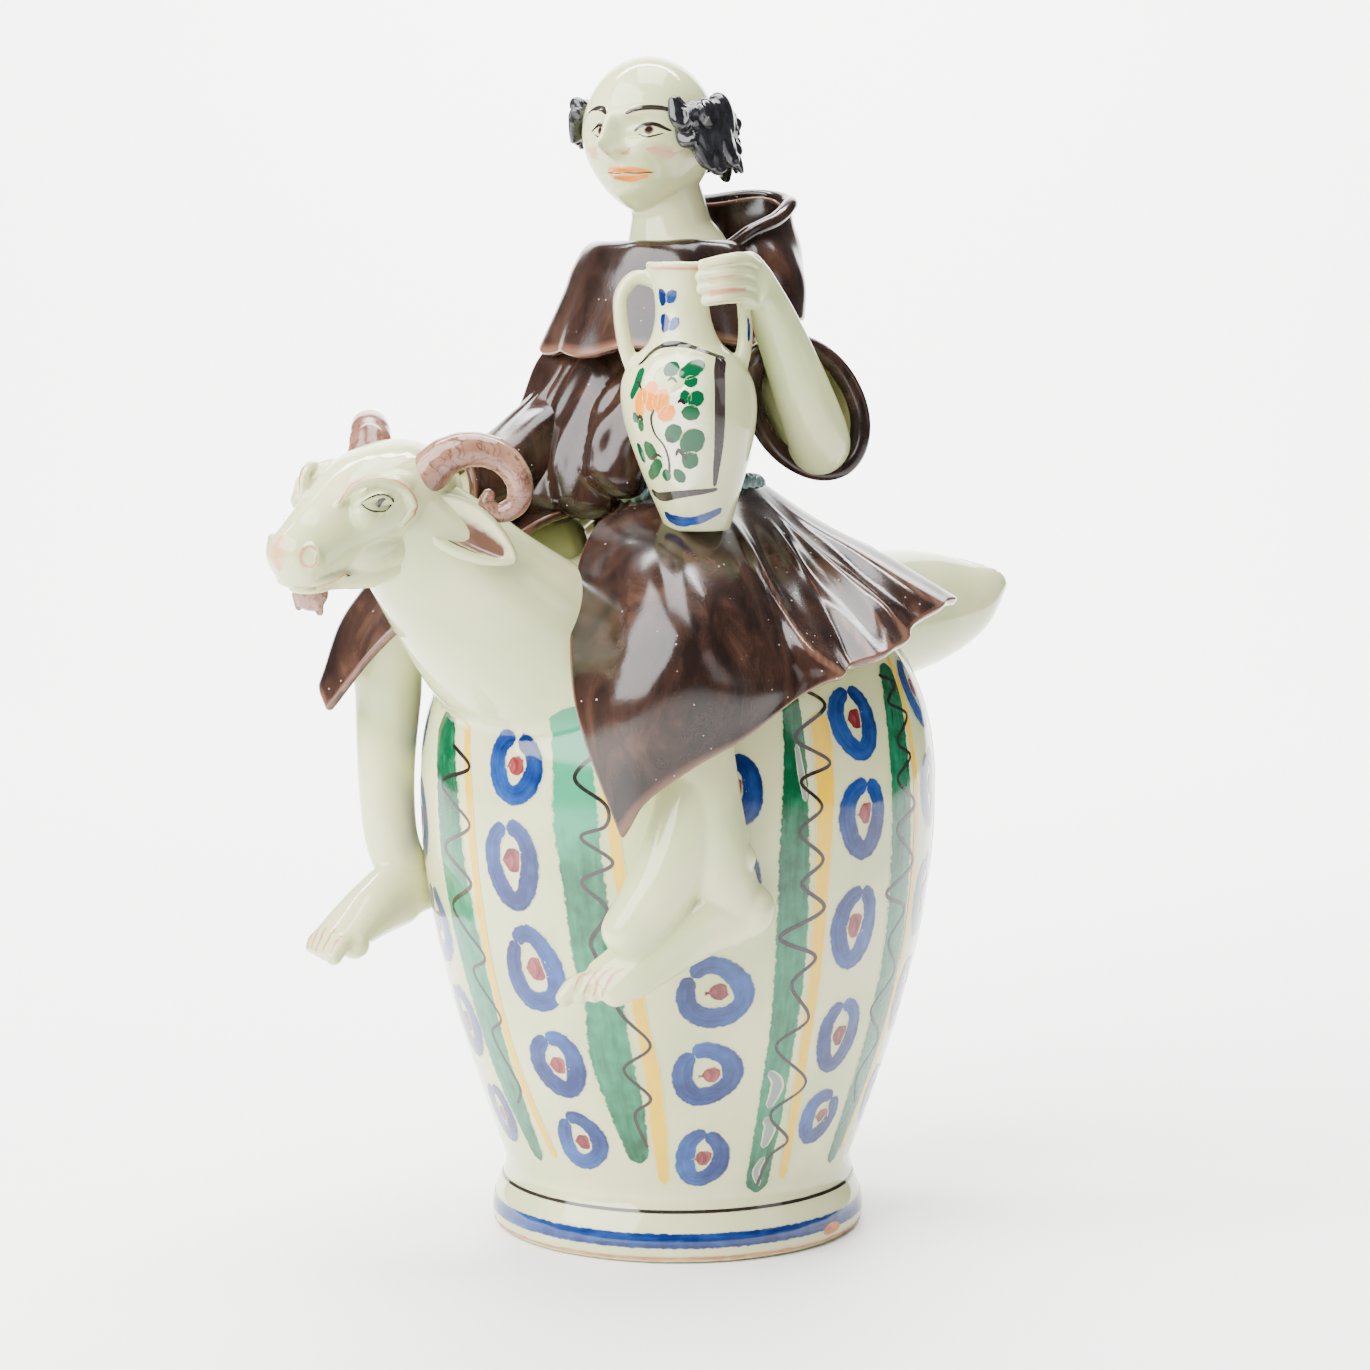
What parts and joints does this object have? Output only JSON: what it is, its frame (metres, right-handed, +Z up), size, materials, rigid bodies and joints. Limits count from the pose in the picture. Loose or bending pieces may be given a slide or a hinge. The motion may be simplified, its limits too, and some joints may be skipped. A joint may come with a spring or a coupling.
{
  "type": "ceramic figural vase",
  "caption": "Glazed ceramic figural vase: an ovoid body shaped as a ram, its upturned tail the open mouth, with a seated friar who steadies a jug on his thigh.",
  "frame": {"origin": "centre of the flat underside of the foot", "axes": "+Z up through the turned body, the ram looks along -Y and its tail is at +Y, the rider's jug is on the +X side"},
  "size_m": [0.195, 0.3324, 0.3801],
  "materials": {
    "glazed_clay": "glossy tin-white glaze with painted stripes and rings, dark brown glaze on the habit"
  },
  "bodies": {
    "root": {"vase": "glazed_clay"}
  },
  "joints": []
}
